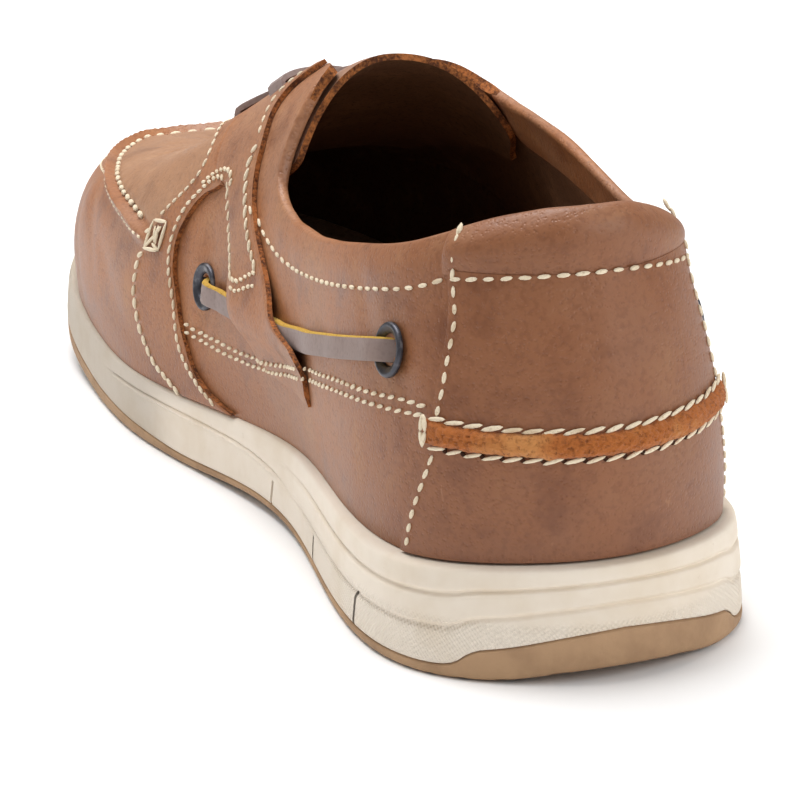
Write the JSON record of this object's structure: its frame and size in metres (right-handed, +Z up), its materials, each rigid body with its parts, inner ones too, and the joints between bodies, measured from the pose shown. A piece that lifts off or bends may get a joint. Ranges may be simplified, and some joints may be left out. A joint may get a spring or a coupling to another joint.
{
  "type": "boat shoe",
  "caption": "Low lace-up leather boat shoe with a moccasin toe seam, side laces through metal eyelets and a cream midsole on a gum rubber outsole.",
  "frame": {"origin": "on the floor, under the middle of the sole's outline seen from above", "axes": "+Z up, +Y from the heel towards the toe, +X towards the outer side of the shoe"},
  "size_m": [0.0972, 0.3, 0.0946],
  "materials": {
    "leather": "matt oiled brown leather, fine grain",
    "tape": "orange-brown suede",
    "lining": "dark brown lining",
    "foam": "matt cream moulded foam",
    "rubber": "matt tan gum rubber",
    "metal": "satin dark grey metal",
    "lace": "flat grey-brown leather thong with a pale cut edge"
  },
  "bodies": {
    "root": {"outsole": "rubber", "midsole": "foam", "insole": "lining", "upper": "leather", "saddle_inner": "leather", "saddle_outer": "leather", "heel_panel": "leather", "collar_band": "leather", "heel_tape": "tape", "tongue": "leather", "eyelet_inner_front": "metal", "eyelet_inner_rear": "metal", "eyelet_outer_front": "metal", "eyelet_outer_rear": "metal", "side_lace_inner": "lace", "side_lace_outer": "lace", "throat_lace": "lace"}
  },
  "joints": []
}
